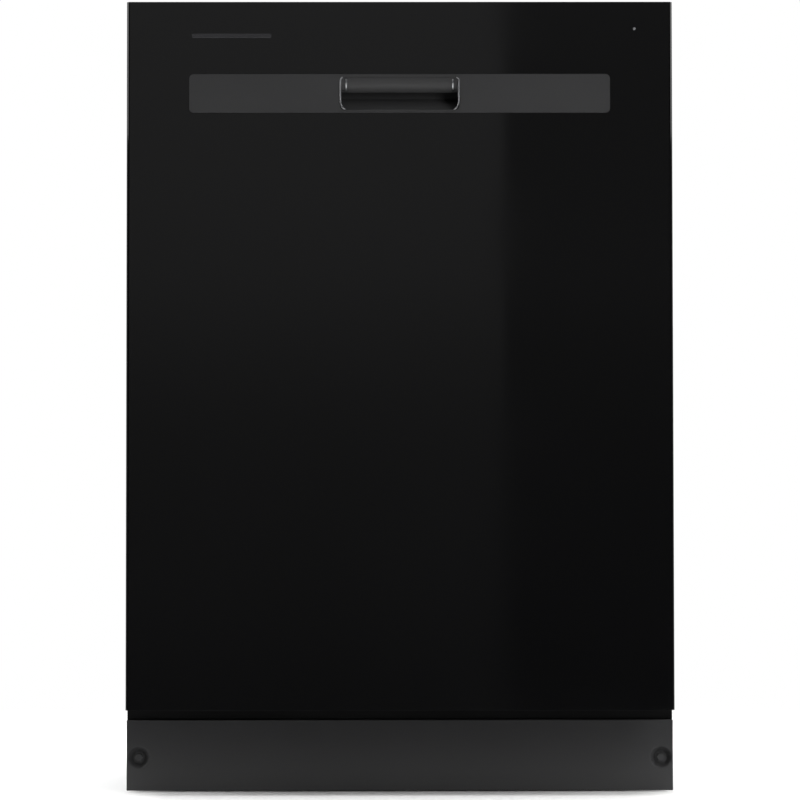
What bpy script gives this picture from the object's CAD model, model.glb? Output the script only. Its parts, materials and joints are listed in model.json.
import json
import math

import bmesh
import bpy
from mathutils import Matrix, Vector, noise

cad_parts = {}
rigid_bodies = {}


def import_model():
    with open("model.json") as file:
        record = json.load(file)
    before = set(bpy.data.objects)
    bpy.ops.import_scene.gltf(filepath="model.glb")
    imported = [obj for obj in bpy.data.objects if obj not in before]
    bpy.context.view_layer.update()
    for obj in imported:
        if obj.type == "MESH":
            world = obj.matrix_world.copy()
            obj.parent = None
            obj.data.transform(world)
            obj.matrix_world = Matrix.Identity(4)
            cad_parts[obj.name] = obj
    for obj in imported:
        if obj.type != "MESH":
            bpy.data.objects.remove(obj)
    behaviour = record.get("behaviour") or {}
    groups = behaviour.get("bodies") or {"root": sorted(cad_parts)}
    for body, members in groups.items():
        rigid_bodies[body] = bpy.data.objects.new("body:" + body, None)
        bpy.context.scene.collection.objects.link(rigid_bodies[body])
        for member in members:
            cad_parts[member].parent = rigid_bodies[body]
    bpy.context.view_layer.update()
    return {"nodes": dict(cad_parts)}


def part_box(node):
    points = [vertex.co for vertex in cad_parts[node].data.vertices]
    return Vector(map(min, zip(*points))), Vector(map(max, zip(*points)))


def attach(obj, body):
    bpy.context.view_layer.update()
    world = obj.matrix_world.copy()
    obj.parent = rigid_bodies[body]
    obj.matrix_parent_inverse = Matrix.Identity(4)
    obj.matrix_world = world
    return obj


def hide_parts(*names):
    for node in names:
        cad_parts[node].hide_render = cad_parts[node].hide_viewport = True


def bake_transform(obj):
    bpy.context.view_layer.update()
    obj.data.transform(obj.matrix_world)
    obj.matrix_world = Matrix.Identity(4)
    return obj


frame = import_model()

MM = 0.001


def lo(node):
    """Lowest corner of a CAD node at rest."""
    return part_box(node)[0]


def mid(node):
    """Centre of a CAD node at rest."""
    low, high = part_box(node)
    return [(a + b) / 2 for a, b in zip(low, high)]


# ---------- Camera, floor and light ----------

# Place in metres, turns in degrees, focal length in millimetres
CAMERA_PLACE = Vector((-0.0168, lo("door_panel").y - 4.0, 0.2615))
CAMERA_PITCH = 2.425
CAMERA_YAW = 0.243
CAMERA_ROLL = 0.053
CAMERA_LENS = 165.0


def add_camera():
    data = bpy.data.cameras.new("camera")
    data.lens = CAMERA_LENS
    data.sensor_width = 36.0
    data.clip_end = 60.0
    camera = bpy.data.objects.new("camera", data)
    turn = Matrix.Rotation(math.radians(-CAMERA_YAW), 4, "Z")
    tilt = Matrix.Rotation(math.radians(90.0 + CAMERA_PITCH), 4, "X")
    roll = Matrix.Rotation(math.radians(-CAMERA_ROLL), 4, "Z")
    camera.matrix_world = Matrix.Translation(CAMERA_PLACE) @ turn @ tilt @ roll
    bpy.context.collection.objects.link(camera)
    bpy.context.scene.camera = camera


def add_area(name, place, target, size, power, glossy=True):
    """A white rectangular light; it shows in reflections only if it is glossy."""
    data = bpy.data.lights.new(name, "AREA")
    data.shape = "RECTANGLE"
    data.size, data.size_y = size
    data.energy = power
    light = bpy.data.objects.new(name, data)
    light.location = place
    aim = Vector(target) - Vector(place)
    light.rotation_euler = aim.to_track_quat("-Z", "Y").to_euler()
    light.visible_camera = False
    light.visible_glossy = glossy
    bpy.context.collection.objects.link(light)


def new_node(tree, kind, **values):
    """A shader node; each value sets a property, or sets or feeds the input of that name."""
    node = tree.nodes.new(kind)
    for key, value in values.items():
        if isinstance(value, bpy.types.NodeSocket):
            tree.links.new(value, node.inputs[key])
        elif key in node.inputs:
            node.inputs[key].default_value = value
        else:
            setattr(node, key, value)
    return node


def maths(tree, operation, *terms):
    """Result of an operation on sockets and numbers."""
    node = new_node(tree, "ShaderNodeMath", operation=operation)
    for slot, term in zip(node.inputs, terms):
        if isinstance(term, (int, float)):
            slot.default_value = term
        else:
            tree.links.new(term, slot)
    return node.outputs[0]


def smooth_step(tree, value, start, end, low=0.0, high=1.0):
    """Value eased from low at start to high at end."""
    limits = {"From Min": start, "From Max": end, "To Min": low, "To Max": high}
    node = new_node(tree, "ShaderNodeMapRange", interpolation_type="SMOOTHSTEP", Value=value, **limits)
    return node.outputs["Result"]


def mix_colours(tree, share, first, second):
    """Blend of two colours, each a socket or three numbers."""
    node = new_node(tree, "ShaderNodeMix", data_type="RGBA")
    tree.links.new(share, node.inputs[0])
    for slot, value in ((node.inputs[6], first), (node.inputs[7], second)):
        if isinstance(value, bpy.types.NodeSocket):
            tree.links.new(value, slot)
        else:
            slot.default_value = (*value, 1.0)
    return node.outputs[2]


def mix_surfaces(tree, share, first, second, output):
    """Blends two shaders and sends the result to the output node."""
    mix = new_node(tree, "ShaderNodeMixShader")
    for slot, source in zip(mix.inputs, (share, first, second)):
        tree.links.new(source, slot)
    tree.links.new(mix.outputs[0], output.inputs["Surface"])


def position_axis(tree, kind, axis):
    """One axis of a texture coordinate."""
    place = new_node(tree, "ShaderNodeTexCoord").outputs[kind]
    return new_node(tree, "ShaderNodeSeparateXYZ", Vector=place).outputs[axis]


def add_world():
    """White behind the object; a studio that is bright above and behind, and dim in front."""
    world = bpy.data.worlds.new("studio")
    world.use_nodes = True
    bpy.context.scene.world = world
    tree = world.node_tree
    tree.nodes.clear()
    rear = smooth_step(tree, position_axis(tree, "Generated", "Y"), -0.7, 0.6, 0.0, 0.5)
    above = smooth_step(tree, position_axis(tree, "Generated", "Z"), 0.2, 0.95, 0.02, 0.5)
    room = new_node(tree, "ShaderNodeBackground", Strength=maths(tree, "ADD", rear, above))
    white = new_node(tree, "ShaderNodeBackground", Strength=1.0, Color=(1.0, 1.0, 1.0, 1.0))
    seen = new_node(tree, "ShaderNodeLightPath").outputs["Is Camera Ray"]
    out = new_node(tree, "ShaderNodeOutputWorld")
    mix_surfaces(tree, seen, room.outputs[0], white.outputs[0], out)


SCREEN_Y = -6.3
SCREEN_SPAN = (-3, 3, -1.2, 3.4)
# Side position and half width of the soft step from bright to dim
SCREEN_EDGE_X = 0.312
SCREEN_EDGE_SOFT = 0.016
# The greys run from this height up over this length, as (share of the length, grey)
RAMP_FOOT, RAMP_TALL = -0.6, 2.4
SCREEN_BRIGHT = ((0.0, 0.055), (0.2, 0.066), (0.43, 0.115), (0.51, 0.135), (0.59, 0.175), (0.68, 0.235),
                 (0.78, 0.268), (1.0, 0.315))
SCREEN_DIM = ((0.0, 0.028), (0.2, 0.034), (0.43, 0.06), (0.51, 0.075), (0.59, 0.09), (0.67, 0.112),
              (0.85, 0.118), (1.0, 0.14))


def set_ramp(ramp, stops):
    elements = ramp.color_ramp.elements
    while len(elements) < len(stops):
        elements.new(0.5)
    for element, (place, grey) in zip(elements, stops):
        element.position = place
        element.color = (grey, grey, grey, 1.0)


def stage_plane(name, corners, face, place):
    """A flat stage object."""
    mesh = bpy.data.meshes.new(name)
    mesh.from_pydata(corners, [], [face])
    plane = bpy.data.objects.new(name, mesh)
    plane.location = place
    bpy.context.collection.objects.link(plane)
    return plane


def add_front_screen():
    """Large soft screen behind the camera: brighter on the left, fading towards the floor."""
    left, right, foot, top = SCREEN_SPAN
    corners = [(left, 0, foot), (right, 0, foot), (right, 0, top), (left, 0, top)]
    screen = stage_plane("front_screen", corners, (3, 2, 1, 0), (0, SCREEN_Y, 0))
    screen.visible_camera = False
    screen.visible_shadow = False
    screen.visible_diffuse = False
    material = bpy.data.materials.new("front_screen")
    material.use_nodes = True
    tree = material.node_tree
    tree.nodes.clear()
    height = maths(tree, "MULTIPLY_ADD", position_axis(tree, "Object", "Z"), 1 / RAMP_TALL,
                   -RAMP_FOOT / RAMP_TALL)
    ramps = []
    for stops in (SCREEN_BRIGHT, SCREEN_DIM):
        ramps.append(new_node(tree, "ShaderNodeValToRGB", Fac=height))
        set_ramp(ramps[-1], stops)
    side = smooth_step(tree, position_axis(tree, "Object", "X"), SCREEN_EDGE_X - SCREEN_EDGE_SOFT,
                       SCREEN_EDGE_X + SCREEN_EDGE_SOFT)
    shade = mix_colours(tree, side, *[ramp.outputs[0] for ramp in ramps])
    glow = new_node(tree, "ShaderNodeEmission", Color=shade)
    new_node(tree, "ShaderNodeOutputMaterial", Surface=glow.outputs[0])
    screen.data.materials.append(material)


FLOOR_HALF = 5.0
FLOOR_DROP = 0.2 * MM
# Distances from the object between which the floor fades out
FLOOR_FADE = (1.0, 2.1)


def add_floor():
    """Pale floor that fades into the white background a little way from the object."""
    low, high = -FLOOR_HALF, FLOOR_HALF
    corners = [(low, low, 0), (high, low, 0), (high, high, 0), (low, high, 0)]
    floor = stage_plane("floor", corners, (0, 1, 2, 3), (0, 0, -FLOOR_DROP))
    material = finish("floor_paper", (0.93, 0.93, 0.925), 0.8, grain=220, bump=0.03, tint=0.004)
    tree = material.node_tree
    place = new_node(tree, "ShaderNodeTexCoord").outputs["Object"]
    reach = new_node(tree, "ShaderNodeVectorMath", operation="LENGTH")
    tree.links.new(place, reach.inputs[0])
    gone = smooth_step(tree, reach.outputs["Value"], *FLOOR_FADE)
    clear = new_node(tree, "ShaderNodeBsdfTransparent")
    mix_surfaces(tree, gone, tree.nodes["Principled BSDF"].outputs[0], clear.outputs[0],
                 tree.nodes["Material Output"])
    floor.data.materials.append(material)


def add_lights():
    """Each light's place, target and size in metres, and its power in watts."""
    add_area("key_front", (-0.5, -2.3, 3.4), (0.0, 0.0, 0.45), (2.2, 1.0), 4)
    add_area("right_front", (1.15, -1.75, 1.0), (0.0, -0.3, 0.6), (0.7, 1.7), 18, glossy=False)
    add_area("top_soft", (0.0, 0.5, 3.4), (0.0, 0.0, 0.0), (3.6, 3.4), 165, glossy=False)
    for name, x in (("left_side", -2.3), ("right_side", 2.3)):
        add_area(name, (x, -0.5, 1.75), (0.0, -0.25, 0.55), (1.5, 1.7), 24)
    add_area("back_fill", (0.3, 3.2, 1.6), (0.0, 0.0, 0.5), (2.6, 1.8), 24)


# ---------- Materials ----------

# Dust settles on the toe panel up to this height
DUST_TOP = 75 * MM
DUST_COLOUR = (0.13, 0.13, 0.13)


def finish(name, colour, rough, metal=0.0, *, grain=900.0, stretch=(1, 1, 1), bump=0.1, depth=0.0002,
           tint=0.07, patch=7.0, rough_vary=0.06, sheen=0.0, glass=0.0, pattern=None, ior=1.5,
           scuff=0.0, dust=0.0):
    """A procedural surface: colour patches, a roughness map, a fine bump and light scuffs."""
    material = bpy.data.materials.new(name)
    material.use_nodes = True
    tree = material.node_tree
    shader = tree.nodes["Principled BSDF"]
    constants = {"Metallic": metal, "IOR": ior, "Sheen Weight": sheen, "Transmission Weight": glass}
    for key, value in constants.items():
        shader.inputs[key].default_value = value
    place = new_node(tree, "ShaderNodeTexCoord").outputs["Object"]
    wide = new_node(tree, "ShaderNodeTexNoise", Vector=place, Scale=patch, Detail=4.0, Roughness=0.55)
    mapping = new_node(tree, "ShaderNodeMapping", Vector=place, Scale=stretch)
    fine = new_node(tree, "ShaderNodeTexNoise", Vector=mapping.outputs[0], Scale=grain, Detail=3.0,
                    Roughness=0.6)
    tone = smooth_step(tree, wide.outputs["Fac"], 0.3, 0.7)
    relief = fine.outputs["Fac"]
    if pattern == "spangle":
        cells = new_node(tree, "ShaderNodeTexVoronoi", Vector=place, Scale=95.0)
        channel = new_node(tree, "ShaderNodeSeparateColor", Color=cells.outputs["Color"])
        tone = maths(tree, "MULTIPLY_ADD", channel.outputs[0], 0.65, maths(tree, "MULTIPLY", tone, 0.35))
    if pattern == "fibre":
        strands = new_node(tree, "ShaderNodeTexNoise", Vector=place, Scale=260.0, Detail=6.0, Distortion=1.6)
        relief = maths(tree, "ADD", relief, strands.outputs["Fac"])
        tone = smooth_step(tree, strands.outputs["Fac"], 0.38, 0.62)
    if pattern == "traces":
        tone = new_node(tree, "ShaderNodeTexBrick", Vector=place, Scale=120.0).outputs["Fac"]
    shade = mix_colours(tree, tone, [c * (1 - tint) for c in colour],
                        [min(1.0, c * (1 + tint)) for c in colour])
    roughness = smooth_step(tree, wide.outputs["Fac"], 0.32, 0.7, max(rough - rough_vary, 0.0),
                            rough + rough_vary)
    if scuff > 0:
        streaks = new_node(tree, "ShaderNodeMapping", Vector=place, Scale=(1.0, 1.0, 9.0),
                           Rotation=(0.4, 0.3, 0.5))
        marks = new_node(tree, "ShaderNodeTexNoise", Vector=streaks.outputs[0], Scale=14.0, Detail=8.0,
                         Roughness=0.72)
        worn = smooth_step(tree, marks.outputs["Fac"], 0.62, 0.74, 0.0, scuff)
        roughness = maths(tree, "ADD", roughness, worn)
    if dust > 0:
        settled = smooth_step(tree, position_axis(tree, "Object", "Z"), 0.0, DUST_TOP, dust, 0.0)
        shade = mix_colours(tree, settled, shade, DUST_COLOUR)
    tree.links.new(shade, shader.inputs["Base Color"])
    tree.links.new(roughness, shader.inputs["Roughness"])
    raised = new_node(tree, "ShaderNodeBump", Height=relief, Strength=bump, Distance=depth)
    tree.links.new(raised.outputs[0], shader.inputs["Normal"])
    return material


# Finish of each material slot of the record: colour, roughness, and what else it has
SLOT_FINISHES = {
    "gloss_black": ((0.0016, 0.0016, 0.0018), 0.045, dict(grain=260, bump=0.012, depth=0.0001,
        rough_vary=0.02, patch=3.5, tint=0.1)),
    "gloss_console": ((0.006, 0.006, 0.0065), 0.12, dict(grain=600, bump=0.03, rough_vary=0.03)),
    "satin_grey": ((0.033, 0.033, 0.034), 0.36, dict(grain=1500, bump=0.07, rough_vary=0.03, tint=0.05,
        scuff=0.03)),
    "satin_toe": ((0.027, 0.027, 0.028), 0.42, dict(ior=1.2, dust=0.22, grain=1300, bump=0.09,
        rough_vary=0.04, tint=0.06, scuff=0.04)),
    "black_steel": ((0.0018, 0.0018, 0.0019), 0.62, dict(grain=1100, bump=0.12, scuff=0.06, ior=1.18)),
    "badge": ((0.075, 0.075, 0.08), 0.24, dict(metal=0.8, grain=300, stretch=(1, 1, 30), bump=0.06)),
    "light_lens": ((0.3, 0.31, 0.32), 0.2, dict(bump=0.05, glass=0.4)),
    "stainless": ((0.5, 0.495, 0.485), 0.31, dict(metal=1.0, grain=5.0, stretch=(6, 6, 420), bump=0.07,
        depth=0.00008, rough_vary=0.025, tint=0.035, scuff=0.02)),
    "zinc": ((0.36, 0.375, 0.395), 0.42, dict(metal=0.9, grain=500, bump=0.05, tint=0.2, rough_vary=0.08,
        pattern="spangle", scuff=0.08)),
    "screw_steel": ((0.42, 0.425, 0.44), 0.3, dict(metal=1.0, grain=1600, bump=0.08)),
    "seal_rubber": ((0.05, 0.05, 0.052), 0.62, dict(grain=1800, bump=0.12, tint=0.15)),
    "felt": ((0.085, 0.085, 0.09), 0.95, dict(grain=1400, bump=0.9, depth=0.0012, tint=0.4, sheen=0.35,
        pattern="fibre")),
    "black_plastic": ((0.014, 0.014, 0.015), 0.46, dict(grain=1400, bump=0.16, tint=0.15, scuff=0.1)),
    "grey_plastic": ((0.17, 0.18, 0.19), 0.42, dict(grain=1300, bump=0.12, scuff=0.07)),
    "white_plastic": ((0.52, 0.53, 0.53), 0.33, dict(grain=1200, bump=0.06, scuff=0.05)),
    "button_black": ((0.02, 0.02, 0.021), 0.28, dict(grain=1700, bump=0.08)),
    "board_green": ((0.012, 0.1, 0.035), 0.35, dict(bump=0.15, tint=0.35, pattern="traces")),
    "rack_wire": ((0.3, 0.315, 0.33), 0.3, dict(grain=700, tint=0.06, rough_vary=0.05)),
}


# ---------- Mesh helpers ----------

def mesh_object(name, verts, faces, smooth_angle=35.0):
    """A smooth-shaded object with outward faces, sharp where they meet above an angle in degrees."""
    mesh = bpy.data.meshes.new(name)
    mesh.from_pydata([tuple(v) for v in verts], [], faces)
    mesh.validate()
    work = bmesh.new()
    work.from_mesh(mesh)
    bmesh.ops.recalc_face_normals(work, faces=work.faces)
    work.to_mesh(mesh)
    work.free()
    mesh.polygons.foreach_set("use_smooth", [True] * len(mesh.polygons))
    mesh.set_sharp_from_angle(angle=math.radians(smooth_angle))
    obj = bpy.data.objects.new(name, mesh)
    bpy.context.collection.objects.link(obj)
    return obj


BEVEL_ANGLE = math.radians(32.0)


def add_bevel(obj, width):
    """Softens the edges sharper than the bevel angle and keeps flat faces flat."""
    bevel = obj.modifiers.new("edges", "BEVEL")
    bevel.width = width
    bevel.segments = 2
    bevel.limit_method = "ANGLE"
    bevel.angle_limit = BEVEL_ANGLE
    bevel.use_clamp_overlap = True
    weights = obj.modifiers.new("flat_faces", "WEIGHTED_NORMAL")
    weights.keep_sharp = True


def make_piece(name, shapes, slot, body, stands_for=(), bevel=0.0, smooth_angle=35.0, material=None):
    """Joins (verts, faces) shapes into one piece that rides on a body."""
    verts = []
    faces = []
    for shape_verts, shape_faces in shapes:
        base = len(verts)
        verts.extend(shape_verts)
        faces.extend([tuple(i + base for i in face) for face in shape_faces])
    obj = mesh_object(name, verts, faces, smooth_angle)
    if bevel > 0:
        add_bevel(obj, bevel)
    obj.data.materials.append(material or FINISHES[slot])
    if body:
        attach(obj, body)
    if stands_for:
        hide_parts(*stands_for)
    return obj


def clean_mesh(node):
    """Vertices and flat faces of a CAD node, with its triangles merged."""
    work = bmesh.new()
    work.from_mesh(frame["nodes"][node].data)
    bmesh.ops.remove_doubles(work, verts=work.verts, dist=2e-6)
    bmesh.ops.dissolve_limit(work, angle_limit=math.radians(0.6), verts=work.verts, edges=work.edges)
    verts = [v.co.copy() for v in work.verts]
    faces = [tuple(v.index for v in f.verts) for f in work.faces]
    work.free()
    return verts, faces


def node_body(node):
    return frame["nodes"][node].parent.name.split(":", 1)[1]


def refine(node, slot, width):
    """The same shape as a CAD node, with softened edges, standing for that node."""
    make_piece(node + "_fine", [clean_mesh(node)], slot, node_body(node), [node], width * MM,
               material=OWN_FINISH.get(node))


def box_shape(low, high):
    (x0, y0, z0), (x1, y1, z1) = low, high
    verts = [(x, y, z) for x in (x0, x1) for y in (y0, y1) for z in (z0, z1)]
    faces = [(0, 1, 3, 2), (4, 6, 7, 5), (0, 4, 5, 1), (2, 3, 7, 6), (0, 2, 6, 4), (1, 5, 7, 3)]
    return verts, faces


def rounded(points, radius, steps=6, closed=False):
    """A path through points, with round corners."""
    points = [Vector(p) for p in points]
    path = []
    count = len(points)
    for i, corner in enumerate(points):
        if not closed and i in (0, count - 1):
            path.append(corner)
            continue
        to_last = (points[i - 1] - corner).normalized()
        to_next = (points[(i + 1) % count] - corner).normalized()
        half = to_last.angle(to_next) / 2
        centre = corner + (to_last + to_next).normalized() * (radius / math.sin(half))
        reach = radius / math.tan(half)
        start = (corner + to_last * reach - centre).normalized()
        end = (corner + to_next * reach - centre).normalized()
        for k in range(steps + 1):
            path.append(centre + start.slerp(end, k / steps) * radius)
    return path


def tangent_at(path, i, closed):
    """Direction of a path at one of its points."""
    count = len(path)
    before = path[i - 1] if closed or i > 0 else path[i]
    after = path[(i + 1) % count] if closed or i < count - 1 else path[i]
    return (after - before).normalized()


def ring_faces(rows, sides, closed=False):
    """Faces that join rings of vertices in order, closed into a loop or capped at both ends."""
    faces = []
    for i in range(rows if closed else rows - 1):
        a = i * sides
        b = ((i + 1) % rows) * sides
        for k in range(sides):
            n = (k + 1) % sides
            faces.append((a + k, a + n, b + n, b + k))
    if not closed:
        faces.append(tuple(reversed(range(sides))))
        faces.append(tuple(range((rows - 1) * sides, rows * sides)))
    return faces


def tube(path, radius, sides=10, closed=False, round_ends=True):
    """A round tube along a path; radius is one number or one for each point."""
    path = [Vector(p) for p in path]
    radii = list(radius) if isinstance(radius, (list, tuple)) else [radius] * len(path)
    if not closed and round_ends:
        first = (path[0] - path[1]).normalized()
        last = (path[-1] - path[-2]).normalized()
        r0, r1 = radii[0], radii[-1]
        path = [path[0] + first * r0 * 0.55, path[0] + first * r0 * 0.3] + path
        path += [path[-1] + last * r1 * 0.3, path[-1] + last * r1 * 0.55]
        radii = [r0 * 0.45, r0 * 0.85, *radii, r1 * 0.85, r1 * 0.45]
    verts = []
    normal = None
    for i, point in enumerate(path):
        tangent = tangent_at(path, i, closed)
        if normal is None:
            normal = tangent.orthogonal()
        normal = (normal - tangent * normal.dot(tangent)).normalized()
        side = tangent.cross(normal)
        for k in range(sides):
            turn = 2 * math.pi * k / sides
            verts.append(point + (normal * math.cos(turn) + side * math.sin(turn)) * radii[i])
    return verts, ring_faces(len(path), sides, closed)


def sweep(path, outline, up, closed=False):
    """Sweeps an outline of (across, along-up) pairs on a path; up is the fixed second axis."""
    path = [Vector(p) for p in path]
    up = Vector(up)
    verts = []
    for i, point in enumerate(path):
        tangent = tangent_at(path, i, closed)
        across = tangent.cross(up).normalized()
        for a, b in outline:
            verts.append(point + across * a + up * b)
    return verts, ring_faces(len(path), len(outline), closed)


def lathe(profile, base, axis, sides=32):
    """Turns (radius, height) pairs about an axis through base."""
    axis = Vector(axis).normalized()
    first = axis.orthogonal().normalized()
    second = axis.cross(first)
    base = Vector(base)
    verts = []
    for r, h in profile:
        for k in range(sides):
            turn = 2 * math.pi * k / sides
            verts.append(base + axis * h + (first * math.cos(turn) + second * math.sin(turn)) * r)
    return verts, ring_faces(len(profile), sides)


# ---------- Racks ----------

WIRE_R = 2.0 * MM
WIRE_PITCH = 40 * MM
BEND = 13 * MM


def rim_wire(left, right, front, back, z, bend=22 * MM, radius=WIRE_R):
    corners = [(left, front, z), (right, front, z), (right, back, z), (left, back, z)]
    return tube(rounded(corners, bend, closed=True), radius, closed=True)


def hoop(start, end, floor_z, top_z):
    """Down at one (x, y) place, across the floor and up at the other."""
    points = [(*start, top_z), (*start, floor_z), (*end, floor_z), (*end, top_z)]
    return tube(rounded(points, BEND), WIRE_R)


def basket_wires(node, half, deep, crosses):
    """A basket of rings, hoops both ways and plain floor wires, with its front, back, floor and rim."""
    low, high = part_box(node)
    front, back, rim_z = low.y + WIRE_R, high.y - WIRE_R, high.z - WIRE_R
    floor_z = rim_z - deep
    inset = 2 * WIRE_R + 0.1 * MM
    low_half = half - 13 * MM
    shapes = [
        rim_wire(-half, half, front, back, rim_z, radius=WIRE_R * 1.2),
        rim_wire(-half, half, front, back, (rim_z + floor_z) / 2),
        rim_wire(-low_half, low_half, front + 10 * MM, back - 10 * MM, floor_z + inset),
    ]
    step = (back - front - 80 * MM) / (crosses - 1)
    side, top_z = half - inset, rim_z + WIRE_R
    for i in range(crosses):
        y = front + 40 * MM + i * step
        shapes.append(hoop((-side, y), (side, y), floor_z, top_z))
    under = floor_z - inset
    last = int((half - 30 * MM) / WIRE_PITCH)
    for i in range(-last, last + 1):
        x = i * WIRE_PITCH
        if (i + last) % 2 == 0:
            shapes.append(hoop((x, front + inset), (x, back - inset), under, top_z))
        else:
            ends = [(x, front + 11 * MM, under + 4 * MM), (x, front + 16 * MM, under),
                    (x, back - 16 * MM, under), (x, back - 11 * MM, under + 4 * MM)]
            shapes.append(tube(ends, WIRE_R))
    return shapes, front, back, floor_z, rim_z


def tine_shape(x, y, foot_z, top_z):
    """One plate tine with a slight lean at its tip."""
    lean = 3.0 * MM
    return tube([(x, y, foot_z), (x, y, top_z - 22 * MM), (x, y + lean * 0.4, top_z - 8 * MM),
                 (x, y + lean, top_z)], WIRE_R)


TINES = 11
TINE_XS = [(i - (TINES - 1) / 2) * WIRE_PITCH for i in range(TINES)]
TINE_TALL = 88 * MM
LOWER_HALF = 245 * MM
LOWER_DEEP = 124 * MM


def build_lower_rack():
    """Lower basket with its row of fixed tines at the back."""
    shapes, _, back, floor_z, _ = basket_wires("lower_rack", LOWER_HALF, LOWER_DEEP, 6)
    fixed_y = back - 35 * MM
    shapes += [tine_shape(x, fixed_y, floor_z, floor_z + TINE_TALL) for x in TINE_XS]
    reach = LOWER_HALF - WIRE_PITCH
    shapes.append(tube([(x, fixed_y, floor_z + 2 * WIRE_R) for x in (-reach, reach)], WIRE_R))
    make_piece("lower_rack_wires", shapes, "rack_wire", "lower_rack", ["lower_rack"])
    build_wheel_hangers(floor_z)


# Section of a wheel's axle pin: radius and length in millimetres
AXLE = ((3.9, 0), (3.9, 13.4), (7, 13.5), (7, 15), (5.5, 15.4))


def build_wheel_hangers(floor_z):
    """Moulded axle blocks that clip on the bottom wires of the lower rack."""
    shapes = []
    for node in ("lower_wheels_front", "lower_wheels_rear"):
        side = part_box(node)[1].x
        _, y, z = mid(node)
        for s in (-1, 1):
            outer = s * (side - 12 * MM)
            left, right = sorted((s * (side - 15 * MM), outer))
            shapes.append(box_shape((left, y - 9 * MM, z - 9 * MM), (right, y + 9 * MM, floor_z + 2 * MM)))
            shapes.append(lathe([(r * MM, h * MM) for r, h in AXLE], (outer, y, z), (s, 0, 0)))
    make_piece("lower_rack_hangers", shapes, "grey_plastic", "lower_rack", bevel=0.6 * MM)


def wheel_shape(x, y, z, r, w, s, bore):
    """A spoked wheel with a tread and a hub, on a bore."""
    hub = bore + 3.2 * MM
    rim = r - 3.5 * MM
    tread = r - 0.6 * MM
    profile = [(bore, 0), (hub, 0), (hub, w * 0.3), (rim, w * 0.3), (rim, 0), (tread, 0), (r, 0.8 * MM),
               (r, w - 0.8 * MM), (tread, w), (rim, w), (rim, w * 0.7), (hub, w * 0.7), (hub, w), (bore, w)]
    sides = 40
    verts, _ = lathe(profile, (x, y, z), (s, 0, 0), sides)
    return verts, ring_faces(len(profile), sides, closed=True)


# Wheel width and bore in millimetres and finish, for each rack
WHEELS = (("lower", 10.0, 4.05, "grey_plastic"), ("upper", 6.0, 3.05, "white_plastic"))
# Only wheels larger than this have spokes
SPOKED_R = 12 * MM


def build_wheels():
    for rack, width, bore, slot in WHEELS:
        for node in (rack + "_wheels_front", rack + "_wheels_rear"):
            low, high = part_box(node)
            _, y, z = mid(node)
            r = (high.z - low.z) / 2
            shapes = [wheel_shape(s * (high.x - width * MM), y, z, r, width * MM, s, bore * MM)
                      for s in (-1, 1)]
            for s in (-1, 1) if r > SPOKED_R else ():
                centre = Vector((s * (high.x - width * MM / 2), y, z))
                for k in range(6):
                    turn = k * math.pi / 3
                    out = Vector((0, math.cos(turn), math.sin(turn)))
                    shapes.append(tube([centre + out * 6.5 * MM, centre + out * (r - 3 * MM)], 2.6 * MM, 8))
            make_piece(node + "_fine", shapes, slot, node_body(node), [node])


def build_fold_tines():
    low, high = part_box("fold_tines")
    pivot_z = low.z + WIRE_R
    y = mid("fold_tines")[1]
    shapes = [tube([(low.x, y, pivot_z), (high.x, y, pivot_z)], WIRE_R)]
    shapes += [tine_shape(x, y - 1 * MM, pivot_z, high.z) for x in TINE_XS]
    make_piece("fold_tines_fine", shapes, "rack_wire", "fold_tines", ["fold_tines"])


UPPER_HALF = 243 * MM
UPPER_DEEP = 106 * MM


def build_upper_rack():
    """Upper basket with two rows of short pins, and the lugs that hang it on its carriage."""
    shapes, front, _, floor_z, rim_z = basket_wires("upper_rack", UPPER_HALF, UPPER_DEEP, 5)
    for x in (-3 * WIRE_PITCH, 3 * WIRE_PITCH):
        for k in range(9):
            y = front + 60 * MM + k * 38 * MM
            shapes.append(tube([(x, y, floor_z), (x, y, floor_z + 52 * MM)], WIRE_R * 0.9))
    make_piece("upper_rack_wires", shapes, "rack_wire", "upper_rack", ["upper_rack"])
    lugs = []
    for s in (-1, 1):
        for y in (-24 * MM, 12 * MM):
            left, right = sorted((s * (UPPER_HALF + 0.4 * MM), s * (UPPER_HALF + 6.5 * MM)))
            lugs.append(box_shape((left, y, rim_z - 22 * MM), (right, y + 12 * MM, rim_z + 2 * MM)))
    make_piece("upper_rack_lugs", lugs, "grey_plastic", "upper_rack", bevel=0.8 * MM)


def build_cup_shelf():
    low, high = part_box("cup_shelf")
    z = mid("cup_shelf")[2]
    left, right, front, back = low.x + WIRE_R, high.x - WIRE_R, low.y + WIRE_R, high.y - WIRE_R
    shapes = [rim_wire(left, right, front, back, z, 14 * MM)]
    for k in range(8):
        y = (k - 3.5) * WIRE_PITCH
        shapes.append(tube([(left, y, z), (right, y, z)], WIRE_R * 0.85))
    make_piece("cup_shelf_fine", shapes, "rack_wire", "cup_shelf", ["cup_shelf"])


# ---------- Cutlery basket ----------

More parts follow.
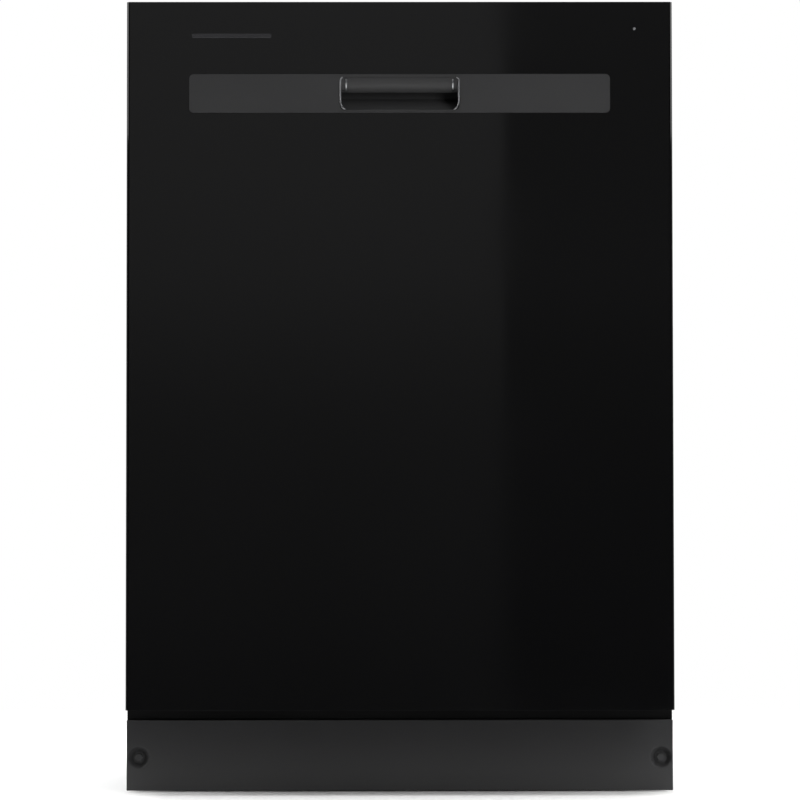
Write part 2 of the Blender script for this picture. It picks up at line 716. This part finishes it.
def lattice(origin, across, up, width, height, pitch, bar):
    """Grid of thin bars on a rectangle, inside a plain border."""
    origin, across, up = Vector(origin), Vector(across), Vector(up)
    depth = across.cross(up).normalized()
    shapes = []

    def slat(a0, a1, u0, u1):
        corners = []
        for d in (0.0, 1.0):
            for a, u in ((a0, u0), (a1, u0), (a1, u1), (a0, u1)):
                corners.append(origin + across * a + up * u + depth * d * bar)
        faces = [(3, 2, 1, 0), (4, 5, 6, 7), (0, 1, 5, 4), (1, 2, 6, 5), (2, 3, 7, 6), (3, 0, 4, 7)]
        shapes.append((corners, faces))

    border = 2.2 * bar
    slat(0, width, 0, border)
    slat(0, width, height - border, height)
    slat(0, border, border, height - border)
    slat(width - border, width, border, height - border)
    columns = max(2, round(width / pitch))
    rows = max(2, round(height / (pitch * 1.7)))
    for i in range(1, columns):
        a = width * i / columns
        slat(a - bar / 2, a + bar / 2, border, height - border)
    for j in range(1, rows):
        u = height * j / rows
        slat(border, width - border, u - bar / 2, u + bar / 2)
    return shapes


def build_cutlery_basket():
    """Lattice box with six cells, a lattice floor and a tall handle."""
    low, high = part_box("cutlery_basket")
    wall_top = high.z - 36 * MM
    width, depth, height = high.x - low.x, high.y - low.y, wall_top - low.z
    bar, pitch = 1.9 * MM, 8.5 * MM
    shapes = []
    for y in (low.y + bar, high.y):
        shapes += lattice((low.x, y, low.z), (1, 0, 0), (0, 0, 1), width, height, pitch, bar)
    cell = (width - bar) / 6
    for i in range(7):
        x = low.x + (width - bar) * i / 6
        shapes += lattice((x, low.y, low.z), (0, 1, 0), (0, 0, 1), depth, height, pitch, bar)
    shapes += lattice((low.x, low.y, low.z), (1, 0, 0), (0, 1, 0), width, depth, pitch, bar)
    y = mid("cutlery_basket")[1]
    foot, grip = wall_top - 30 * MM, high.z - 4 * MM
    handle = [(-cell, y, foot), (-cell, y, grip), (cell, y, grip), (cell, y, foot)]
    shapes.append(tube(rounded(handle, 14 * MM), 3.8 * MM, 14))
    make_piece("cutlery_basket_fine", shapes, "grey_plastic", "cutlery_basket", ["cutlery_basket"])


# ---------- Soft and flexible pieces ----------

GASKET_HALF = 5 * MM
# Section of the seal: millimetres across, and share of its depth
GASKET_SECTION = ((-4.6, 1.0), (-4.6, 0.55), (-3.4, 0.5), (-2.6, 0.25), (-1.6, 0.04), (0, 0.0), (1.6, 0.04),
                  (2.6, 0.25), (3.2, 0.5), (3.7, 0.25), (4.2, 0.2), (4.7, 0.3), (4.6, 0.6), (4.6, 1.0))


def build_gasket():
    """Moulded seal with a sealing bulb and two fins, round at its upper corners."""
    low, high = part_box("tub_gasket")
    x, z = high.x - GASKET_HALF, high.z - GASKET_HALF
    path = rounded([(-x, low.y, low.z), (-x, low.y, z), (x, low.y, z), (x, low.y, low.z)], 24 * MM, 10)
    deep = high.y - low.y
    outline = [(a * MM, b * deep) for a, b in GASKET_SECTION]
    make_piece("tub_gasket_fine", [sweep(path, outline, (0, 1, 0))], "seal_rubber", "cabinet",
               ["tub_gasket"])


STRAP_HALF = 9 * MM
STRAP_THICK = 0.9 * MM
STRAP_INSET = 1.8 * MM
CLIP_R = 8 * MM
# Profile of a fastener: share of its radius, and height in millimetres
CLIP_DOME = ((0.98, -3.4), (1.0, -2.7), (0.9, -2.2), (0.55, -1.9), (0.5, -2.5), (0.22, -2.5), (0.18, -2.0))


def strap_places():
    """The two depths at which a strap goes over the felt wrap."""
    low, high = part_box("sound_blanket")
    return [low.y + (high.y - low.y) * share for share in (0.3, 0.72)]


def clip_places():
    """Centre and outward direction of each push-in fastener on the felt wrap."""
    low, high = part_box("sound_blanket")
    deep, tall = high.y - low.y, high.z - low.z
    places = []
    for share in (0.12, 0.51, 0.92):
        for rise in (0.14, 0.5, 0.86):
            for x, out in ((low.x, -1), (high.x, 1)):
                places.append((Vector((x, low.y + deep * share, low.z + tall * rise)), Vector((out, 0, 0))))
        for across in (-0.5, 0.5):
            places.append((Vector((high.x * across, low.y + deep * share, high.z)), Vector((0, 0, 1))))
    for rise in (0.3, 0.6, 0.9):
        for across in (-0.7, 0.7):
            places.append((Vector((high.x * across, high.y, low.z + tall * rise)), Vector((0, 1, 0))))
    return places


def dent(away, reach, deep):
    """How deep a soft dent is at a distance from its middle."""
    away /= reach
    return deep * math.exp(-away * away) if away < 3 else 0.0


def felt_lift(place, straps, clips):
    """How far a point of the felt stands out: an uneven nap, pressed in at straps and fasteners."""
    lift = noise.noise(place * 7) * 1.4 * MM + noise.noise(place * 55) * 0.5 * MM - 1.7 * MM
    for y in straps:
        lift -= dent(max(abs(place.y - y) - STRAP_HALF, 0.0), 11 * MM, 2.6 * MM)
    for centre, _ in clips:
        lift -= dent((place - centre).length, 17 * MM, 3.2 * MM)
    return lift


def build_blanket():
    """Felt wrap round the tub: soft edges, and dents under its straps and fasteners."""
    obj = mesh_object("sound_blanket_felt", *clean_mesh("sound_blanket"))
    remesh = obj.modifiers.new("remesh", "REMESH")
    remesh.mode = "VOXEL"
    remesh.voxel_size = 5.5 * MM
    graph = bpy.context.evaluated_depsgraph_get()
    mesh = bpy.data.meshes.new_from_object(obj.evaluated_get(graph))
    obj.modifiers.clear()
    obj.data = mesh
    straps, clips = strap_places(), clip_places()
    normals = [v.normal.copy() for v in mesh.vertices]
    for vert, normal in zip(mesh.vertices, normals):
        vert.co = vert.co + normal * felt_lift(vert.co, straps, clips)
    mesh.polygons.foreach_set("use_smooth", [True] * len(mesh.polygons))
    mesh.materials.clear()
    mesh.materials.append(FINISHES["felt"])
    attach(obj, "cabinet")
    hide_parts("sound_blanket")


def build_blanket_trim():
    """Two flat straps over the felt wrap, and its domed push-in fasteners."""
    low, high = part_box("sound_blanket")
    x, top, foot = high.x - STRAP_INSET, high.z - STRAP_INSET, low.z + 6 * MM
    flat = STRAP_HALF - STRAP_THICK
    edge = [(0.0, -STRAP_HALF), (-STRAP_THICK, -flat), (-STRAP_THICK, flat), (0.0, STRAP_HALF)]
    straps = []
    for y in strap_places():
        path = rounded([(-x, y, foot), (-x, y, top), (x, y, top), (x, y, foot)], 9 * MM, 8)
        straps.append(sweep(path, edge, (0, 1, 0)))
    make_piece("blanket_straps", straps, "black_plastic", "cabinet")
    dome = [(CLIP_R * r, h * MM) for r, h in CLIP_DOME]
    clips = [lathe(dome, centre, out, 20) for centre, out in clip_places()]
    make_piece("blanket_clips", clips, "black_plastic", "cabinet", smooth_angle=50)


HOSE_R = 9 * MM


def build_hose():
    """Corrugated drain hose with smooth cuffs at the pump and at the outlet."""
    low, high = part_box("drain_loop")
    r = HOSE_R
    x0, x1, y = low.x + r, high.x - r, high.y - r
    loop = (x1 - x0) / 2
    top = high.z - r - loop
    pump_z = mid("drain_pump")[2]
    path = rounded([(x0, low.y, pump_z), (x0, y, pump_z), (x0, y, top)], 22 * MM, 8)
    for k in range(1, 16):
        turn = math.pi * k / 15
        path.append((x0 + loop - loop * math.cos(turn), y, top + loop * math.sin(turn)))
    path.append((x1, y, low.z + 22 * MM))
    shapes = [
        corrugated(path, r),
        tube([(x1, y, low.z + 24 * MM), (x1, y, low.z + 1 * MM)], r - 1 * MM, 20, round_ends=False),
        tube([(x1, y, low.z + 44 * MM), (x1, y, low.z + 20 * MM)], r, 20),
        tube([(x0, low.y + 0.5 * MM, pump_z), (x0, low.y + 26 * MM, pump_z)], r, 20),
    ]
    make_piece("drain_hose", shapes, "grey_plastic", "cabinet", ["drain_loop"], smooth_angle=80)


def corrugated(path, r, pitch=4.6 * MM):
    """Tube whose radius rises and falls along its length."""
    path = [Vector(p) for p in path]
    fine = []
    for a, b in zip(path, path[1:]):
        count = max(1, round((b - a).length / (pitch / 4)))
        fine += [a.lerp(b, k / count) for k in range(count)]
    fine.append(path[-1])
    length = 0.0
    radii = [r - 1.2 * MM]
    for a, b in zip(fine, fine[1:]):
        length += (b - a).length
        wave = math.cos(2 * math.pi * length / pitch)
        radii.append(r - 0.6 * MM + 0.6 * MM * max(-1.0, min(1.0, 1.6 * wave)))
    return tube(fine, radii, 18, round_ends=False)


COIL_R = 3.7 * MM
COIL_TURNS = 15
TURN_STEPS = 16
SPRING_WIRE_R = 0.85 * MM


def build_springs():
    """Balance springs: close coils with hooks, stretched between the cabinet and the hinge levers."""
    low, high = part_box("door_springs")
    anchor_z = low.z
    lever_z = high.z - 1.2 * MM
    coil_low, coil_high = anchor_z + 7 * MM, lever_z - 14 * MM
    y = mid("door_springs")[1]
    steps = COIL_TURNS * TURN_STEPS
    for side, name in ((-1, "left"), (1, "right")):
        x = side * (high.x - 9.8 * MM)
        coil = [(x, y, anchor_z), (x, y, anchor_z + 3 * MM)]
        for k in range(steps + 1):
            turn = 2 * math.pi * k / TURN_STEPS
            z = coil_low + (coil_high - coil_low) * k / steps
            coil.append((x + COIL_R * math.cos(turn), y + COIL_R * math.sin(turn), z))
        coil += [(x, y, coil_high + 4 * MM), (x, y, lever_z), (side * (high.x - 0.6 * MM), y, lever_z)]
        obj = make_piece("door_spring_" + name, [tube(coil, SPRING_WIRE_R, 8)], "screw_steel", None)
        if name == "left":
            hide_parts("door_springs")
        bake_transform(obj)


# ---------- Feet ----------

def thread_shape(x, y, z0, z1, r, pitch=1.75 * MM, cut=0.6 * MM, sides=20):
    """A threaded rod: its radius follows a helix."""
    rows = max(2, int((z1 - z0) / (pitch / 5)))
    verts = []
    for i in range(rows + 1):
        z = z0 + (z1 - z0) * i / rows
        for k in range(sides):
            turn = 2 * math.pi * k / sides
            wave = 2 * abs(((z / pitch - k / sides) % 1.0) - 0.5)
            radius = r - cut * wave
            verts.append((x + radius * math.cos(turn), y + radius * math.sin(turn), z))
    return verts, ring_faces(rows + 1, sides)


def build_feet():
    """Levelling feet: hexagonal pads, whose boxes give their size across the flats, on threaded stems."""
    for node in ("foot_front_left", "foot_front_right", "feet_rear"):
        low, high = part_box(node)
        x, y, _ = mid(node)
        radius = (high.y - low.y) / math.sqrt(3)
        profile = [(radius * 0.96, 0), (radius, 1 * MM), (radius, 6.6 * MM), (radius * 0.93, 8 * MM),
                   (radius * 0.5, 8 * MM), (radius * 0.42, 9.5 * MM)]
        pads = []
        stems = []
        for x in (low.x + radius, high.x - radius) if node == "feet_rear" else (x,):
            verts, faces = lathe(profile, (x, y, 0), (0, 0, 1), 6)
            pads.append((square_up(verts, x, y), faces))
            stems.append(thread_shape(x, y, 8 * MM, high.z, 5 * MM))
        body = node_body(node)
        make_piece(node + "_pad", pads, "black_plastic", body, [node], bevel=0.8 * MM)
        make_piece(node + "_stem", stems, "screw_steel", body, smooth_angle=60)


def square_up(verts, x, y):
    """Turns a hexagon about its upright axis until its first corner lies along X."""
    angle = -math.atan2(verts[0].y - y, verts[0].x - x)
    spin = Matrix.Translation((x, y, 0)) @ Matrix.Rotation(angle, 4, "Z") @ Matrix.Translation((-x, -y, 0))
    return [spin @ v for v in verts]


# ---------- Pressed sheet details ----------

def bead(start, end, out, half, height, sides=9):
    """A raised, round-ended bead pressed in a sheet between two points."""
    start, end, out = Vector(start), Vector(end), Vector(out).normalized()
    along = (end - start).normalized()
    across = along.cross(out)
    rows = []
    for t, scale in ((-1.0, 0.02), (-0.8, 0.6), (-0.4, 0.92), (0.0, 1.0)):
        rows.append((start + along * half * t, scale))
    for t, scale in ((0.0, 1.0), (0.4, 0.92), (0.8, 0.6), (1.0, 0.02)):
        rows.append((end + along * half * t, scale))
    verts = []
    for centre, scale in rows:
        for k in range(sides):
            u = 2 * k / (sides - 1) - 1
            lift = math.cos(u * math.pi / 2) ** 2 * height * scale - 0.15 * MM
            verts.append(centre + across * u * half * scale + out * lift)
    return verts, ring_faces(len(rows), sides)


TUB_BEAD = (9 * MM, 2.2 * MM)
LINER_BEAD = (11 * MM, 1.4 * MM)
LINER_PITCH = 42 * MM
COVE_R = 24 * MM
FELT_THICK = 14 * MM
LINER_DEPTH = 11 * MM


def tub_inside():
    """Inner faces of the tub: half width, rear, floor and ceiling, from the felt wrap round it."""
    low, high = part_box("sound_blanket")
    return high.x - FELT_THICK, high.y - LINER_DEPTH, low.z - 7 * MM, high.z - FELT_THICK


def build_tub_beads():
    """Stiffening beads on the tub's side and rear walls, and coves in its long corners."""
    inner, rear, floor, ceiling = tub_inside()
    front = rear - 460 * MM
    shapes = []
    for share in (0.17, 0.31, 0.39, 0.755, 0.84, 0.92):
        z = floor + (ceiling - floor) * share
        for s in (-1, 1):
            shapes.append(bead((s * inner, front, z), (s * inner, rear - 52 * MM, z), (-s, 0, 0), *TUB_BEAD))
            shapes.append(bead((s * (inner - 30 * MM), rear, z), (s * 60 * MM, rear, z), (0, -1, 0),
                               *TUB_BEAD))
    make_piece("tub_beads", shapes, "stainless", "cabinet", smooth_angle=70)
    coves = []
    for s in (-1, 1):
        x, end = s * inner, (s * inner, rear, ceiling)
        coves.append(cove((x, rear, floor + 22 * MM), end, (-s, 0, 0), (0, -1, 0)))
        coves.append(cove((x, front - 50 * MM, ceiling), end, (-s, 0, 0), (0, 0, -1)))
    make_piece("tub_coves", coves, "stainless", "cabinet", smooth_angle=70)


def cove(start, end, side_a, side_b, r=COVE_R, steps=8):
    """A hollow quarter-round that fills the corner between two walls."""
    start, end = Vector(start), Vector(end)
    side_a, side_b = Vector(side_a), Vector(side_b)
    verts = []
    for base in (start, end):
        for k in range(steps + 1):
            turn = math.pi / 2 * k / steps
            verts.append(base + side_a * r * (1 - math.sin(turn)) + side_b * r * (1 - math.cos(turn)))
        verts.append(base)
    return verts, ring_faces(2, steps + 2)


def build_liner_beads():
    """Pressed beads on the stainless inner pan of the door, clear of the dispenser."""
    low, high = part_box("door_liner")
    left, right = low.x + 77 * MM, high.x - 77 * MM
    short = lo("vent_cap").x - 34 * MM
    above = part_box("dispenser_body")[1].z + 55 * MM
    shapes = []
    for count, first, end in ((5, low.z + 95 * MM, right), (3, above, short)):
        for k in range(count):
            z = first + k * LINER_PITCH
            shapes.append(bead((left, high.y, z), (end, high.y, z), (0, 1, 0), *LINER_BEAD))
    make_piece("liner_beads", shapes, "stainless", "door", smooth_angle=70)


# ---------- Small parts ----------

RIM_TOP_R = 4.5 * MM
RIM_LOW_R = 8.5 * MM
RIM_X = 64.9 * MM
CURL_X = 58.6 * MM
POCKET_HALF = 19.2 * MM
# Path of the grip lip's curled end, in millimetres down and back from the pocket's top
CURL = ((3.6, 1.7), (7, 2.4), (11, 4.2), (15, 7.6))


def build_pocket_rims():
    """Polished rolled edges down both sides of the handle pocket, and on the ends of its grip lip."""
    front = lo("handle_pocket").y + 0.3 * MM
    middle = mid("handle_strip")[2]
    top_arc = middle + POCKET_HALF - 5.4 * MM
    low_arc = middle - POCKET_HALF + 9.8 * MM
    shapes = []
    for s in (-1, 1):
        path = []
        for k in range(7):
            turn = math.radians(60 - 10 * k)
            path.append((s * (RIM_X - (1 - math.cos(turn)) * RIM_TOP_R), front,
                         top_arc + math.sin(turn) * RIM_TOP_R))
        for k in range(8):
            turn = math.radians(9.5 * k)
            path.append((s * (RIM_X - (1 - math.cos(turn)) * RIM_LOW_R), front,
                         low_arc - math.sin(turn) * RIM_LOW_R))
        shapes.append(tube(path, 0.78 * MM, 12))
        curl = [(s * CURL_X, front + back * MM, middle + POCKET_HALF - drop * MM) for drop, back in CURL]
        shapes.append(tube(curl, 1.25 * MM, 12))
    make_piece("pocket_rims", shapes, "screw_steel", "door", smooth_angle=60)


# Outer and floor radius and depth of a screw dimple; thickness and hem of the toe panel
DIMPLE_OUT = 12.4 * MM
DIMPLE_IN = 6.9 * MM
DIMPLE_DEEP = 6.9 * MM
PLATE_T = 1.4 * MM
HEM = 2 * MM


def grid_lines(start, end, centres, reach=14 * MM, fine=1.0 * MM, coarse=30 * MM):
    """Coordinates from start to end, close together round each centre."""
    marks = {start, end}
    steps = int(2 * reach / fine)
    for centre in centres:
        marks.update(centre - reach + fine * k for k in range(steps + 1))
    inner = sorted(m for m in marks if start <= m <= end)
    lines = []
    for a, b in zip(inner, inner[1:]):
        parts = max(1, math.ceil((b - a) / coarse))
        lines.extend(a + (b - a) * k / parts for k in range(parts))
    return lines + [end]


def build_toe_panel():
    """Pressed toe panel: a thin plate with hemmed edges and a soft dimple round each screw."""
    low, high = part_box("toe_panel")
    s_low, s_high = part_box("toe_screws")
    screw_x = s_high.x - (s_high.z - s_low.z) / 2
    screw_z = mid("toe_screws")[2]
    xs = grid_lines(low.x, high.x, (-screw_x, screw_x))
    zs = grid_lines(low.z, high.z, (screw_z,))
    wide, tall = len(xs), len(zs)
    verts = []
    for back in (0.0, PLATE_T):
        for z in zs:
            for x in xs:
                away = math.hypot(abs(x) - screw_x, z - screw_z)
                share = min(1.0, max(0.0, (DIMPLE_OUT - away) / (DIMPLE_OUT - DIMPLE_IN)))
                press = DIMPLE_DEEP * share * share * (3 - 2 * share)
                verts.append((x, low.y + press + back, z))
    faces = []
    layer = wide * tall
    for j in range(tall - 1):
        for i in range(wide - 1):
            a = j * wide + i
            faces.append((a, a + 1, a + wide + 1, a + wide))
            faces.append((layer + a, layer + a + wide, layer + a + wide + 1, layer + a + 1))
    ring = list(range(wide)) + [j * wide + wide - 1 for j in range(1, tall)]
    ring += [(tall - 1) * wide + i for i in range(wide - 2, -1, -1)]
    ring += [j * wide for j in range(tall - 2, 0, -1)]
    for a, b in zip(ring, ring[1:] + ring[:1]):
        faces.append((a, layer + a, layer + b, b))
    shapes = [(verts, faces)]
    for z0, z1 in ((low.z, low.z + HEM), (high.z - HEM, high.z)):
        shapes.append(box_shape((low.x + HEM, low.y + PLATE_T / 2, z0),
                                (high.x - HEM, low.y + 4.5 * MM, z1)))
    make_piece("toe_panel_pressed", shapes, "satin_toe", "cabinet", ["toe_panel"], bevel=0.5 * MM)


# Width, depth and height of the control board's parts, in millimetres
CHIPS = ((14, 14, 1.6), (9, 6, 1.4), (9, 6, 1.4), (22, 8, 6), (6, 6, 4), (6, 6, 4), (12, 7, 2.2), (8, 8, 1.2))


def build_board():
    """Chips, capacitors and a connector on the control board."""
    low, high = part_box("control_board")
    shapes = []
    for k, (w, d, h) in enumerate(CHIPS):
        x = low.x + (16 + k * 23.5) * MM
        y = low.y + (8 if k % 2 else 24) * MM
        shapes.append(box_shape((x, y, high.z - 0.05 * MM), (x + w * MM, y + d * MM, high.z + h * MM)))
    make_piece("board_parts", shapes, "button_black", "door", bevel=0.3 * MM)


# Sections of a nozzle ring and of a motor fin: radius and height in millimetres
NOZZLE = ((2.1, -0.5), (4.2, 0.0), (3.6, 0.9), (2.4, 0.9), (1.9, -0.4))
FIN = ((26.5, 0), (28.6, 0.4), (28.6, 2.4), (26.5, 2.8))
NOZZLE_PITCH = 31 * MM


def build_nozzles():
    """Raised nozzle rings on the wings of both spray arms."""
    ring = [(r * MM, h * MM) for r, h in NOZZLE]
    for node in ("lower_spray_arm", "middle_spray_arm"):
        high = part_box(node)[1]
        y = mid(node)[1]
        shapes = []
        for s in (-1, 1):
            for k in range(1, 6):
                x = 30 * MM + k * NOZZLE_PITCH
                if x <= high.x - 8 * MM:
                    shapes.append(lathe(ring, (s * x, y, high.z - 2 * MM), (0, 0, 1), 20))
        make_piece(node + "_nozzles", shapes, "button_black", node_body(node))


def build_motor_fins():
    """Cooling ribs round the circulation pump's motor."""
    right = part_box("wash_pump")[1].x
    y, z = mid("impeller")[1], mid("wash_pump")[2]
    fin = [(r * MM, h * MM) for r, h in FIN]
    shapes = [lathe(fin, (right - (74 - 8.2 * k) * MM, y, z), (1, 0, 0), 40) for k in range(9)]
    make_piece("pump_fins", shapes, "black_plastic", "cabinet")


# Nodes that keep their own shape, with their edge radius in millimetres and their finish
REFINED = (
    ("door_panel", 0.7, "gloss_black"), ("handle_strip", 0.45, "satin_grey"),
    ("handle_pocket", 0.6, "satin_grey"), ("badge_plate", 0.2, "badge"), ("status_light", 0.25, "light_lens"),
    ("console", 0.8, "gloss_console"), ("door_liner", 0.5, "stainless"),
    ("dispenser_body", 0.9, "grey_plastic"), ("vent_cap", 0.6, "grey_plastic"), ("hinge_arms", 0.4, "zinc"),
    ("control_board", 0.2, "board_green"), ("liner_screws", 0.4, "screw_steel"),
    ("detergent_lid", 0.6, "white_plastic"), ("rinse_cap", 0.6, "white_plastic"), ("latch_hook", 0.5, "zinc"),
    ("power_button", 0.6, "button_black"), ("cycle_button", 0.6, "button_black"),
    ("option_button", 0.6, "button_black"), ("start_button", 0.6, "button_black"),
    ("access_panel", 0.4, "black_steel"), ("toe_screws", 0.35, "satin_toe"),
    ("base_tray", 0.8, "black_plastic"), ("tub", 0.5, "stainless"), ("frame_left", 0.5, "zinc"),
    ("frame_right", 0.5, "zinc"), ("strike_rail", 0.5, "zinc"), ("mounting_brackets", 0.4, "zinc"),
    ("sump", 0.8, "grey_plastic"), ("filter_plate", 0.4, "stainless"), ("wash_pump", 0.8, "grey_plastic"),
    ("drain_pump", 0.8, "grey_plastic"), ("inlet_valve", 0.7, "white_plastic"), ("junction_box", 0.4, "zinc"),
    ("heater_loop", 0.2, "stainless"), ("spray_manifold", 1.2, "grey_plastic"),
    ("upper_rails", 0.4, "stainless"), ("impeller", 0.4, "white_plastic"),
    ("filter_cup", 0.5, "grey_plastic"), ("float_switch", 1.0, "white_plastic"),
    ("lower_spray_arm", 1.6, "grey_plastic"), ("upper_carriage", 0.7, "grey_plastic"),
    ("feed_pipe", 0.8, "grey_plastic"), ("middle_spray_arm", 1.6, "grey_plastic"),
)


def set_view():
    view = bpy.context.scene.view_settings
    view.view_transform = "Standard"
    view.look = "None"
    view.exposure = 0.0
    view.gamma = 1.0


set_view()
add_camera()
add_world()
add_front_screen()
add_floor()
add_lights()
FINISHES = {name: finish(name, *look, **more) for name, (*look, more) in SLOT_FINISHES.items()}
# Nodes whose finish differs from the one of their slot
OWN_FINISH = {
    "handle_pocket": finish("satin_pocket", (0.042, 0.042, 0.043), 0.46, grain=1400, bump=0.08, ior=1.3),
}
for node_name, edge_radius, finish_name in REFINED:
    refine(node_name, finish_name, edge_radius)
build_lower_rack()
build_wheels()
build_fold_tines()
build_upper_rack()
build_cup_shelf()
build_cutlery_basket()
build_gasket()
build_blanket()
build_blanket_trim()
build_hose()
build_springs()
build_feet()
build_tub_beads()
build_liner_beads()
build_board()
build_pocket_rims()
build_toe_panel()
build_nozzles()
build_motor_fins()
